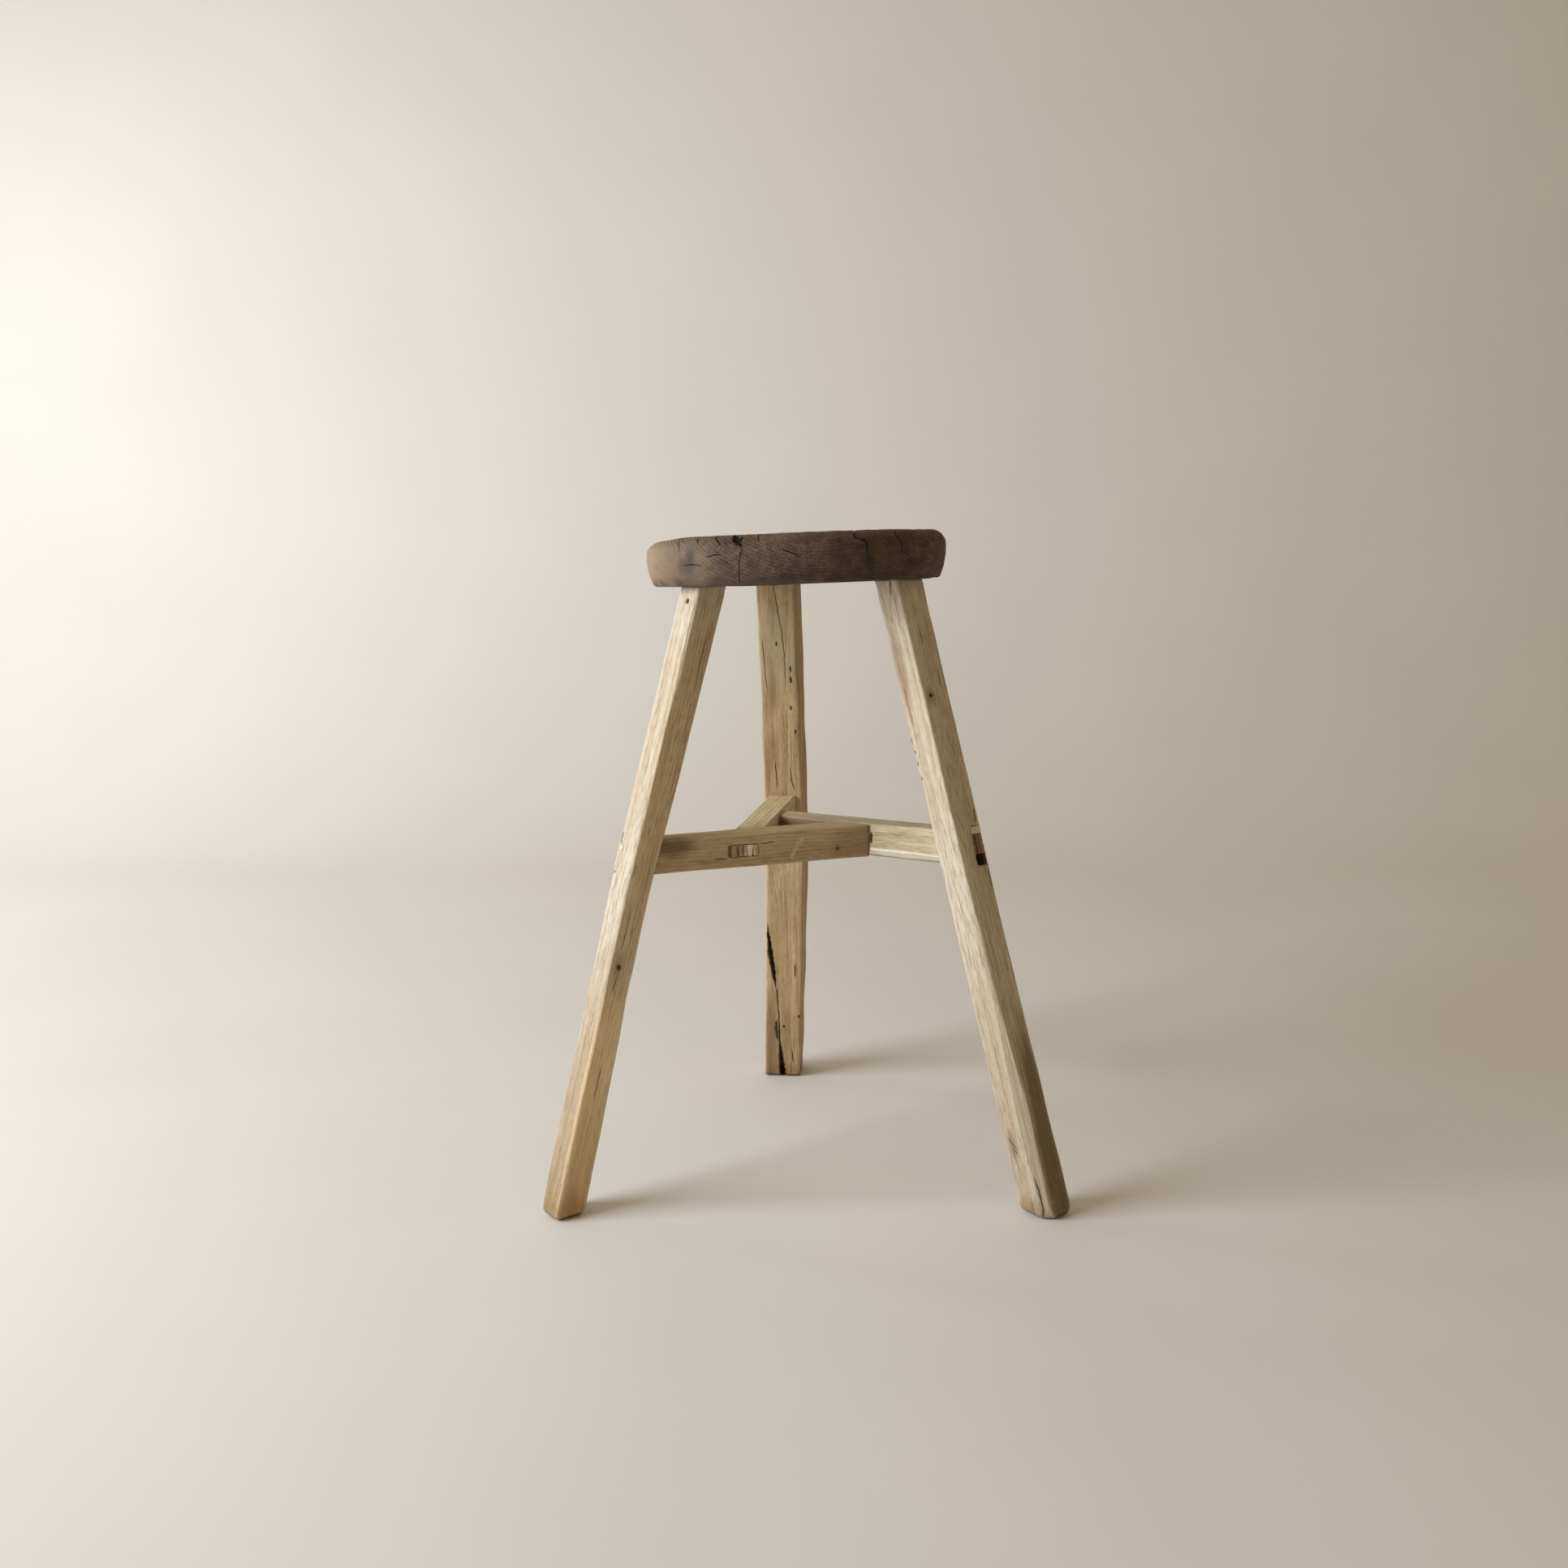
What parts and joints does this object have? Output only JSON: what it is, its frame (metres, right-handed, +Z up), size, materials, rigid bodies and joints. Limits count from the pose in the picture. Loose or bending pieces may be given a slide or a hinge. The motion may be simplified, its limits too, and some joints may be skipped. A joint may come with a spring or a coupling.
{
  "type": "three-legged wooden high stool",
  "caption": "Rustic high stool: a thick round slab seat on splayed hewn legs, tied by stretchers joined head to side in a pinwheel, all wedged tenon joints.",
  "frame": {"origin": "middle of the stool's box at floor level", "axes": "+Z up through the seat; +X from the left leg towards the right leg, +Y from these two front legs towards the back leg"},
  "size_m": [0.551, 0.4926, 0.7049],
  "materials": {
    "seat_wood": "weathered, dark and worn, matt",
    "leg_wood": "bare hewn wood, matt",
    "stretcher_wood": "bare sawn wood, matt",
    "wedge_wood": "bare split wood, matt",
    "nail_iron": "rusted iron"
  },
  "bodies": {
    "root": {"seat": "seat_wood", "leg_left": "leg_wood", "leg_right": "leg_wood", "leg_back": "leg_wood", "stretcher_front": "stretcher_wood", "stretcher_right": "stretcher_wood", "stretcher_back": "stretcher_wood", "wedge_seat_left": "wedge_wood", "wedge_seat_right": "wedge_wood", "wedge_seat_back": "wedge_wood", "wedge_tail_front": "wedge_wood", "wedge_tail_right": "wedge_wood", "wedge_tail_back": "wedge_wood", "wedge_head_front": "wedge_wood", "wedge_head_right": "wedge_wood", "wedge_head_back": "wedge_wood", "nail_left": "nail_iron"}
  },
  "joints": []
}
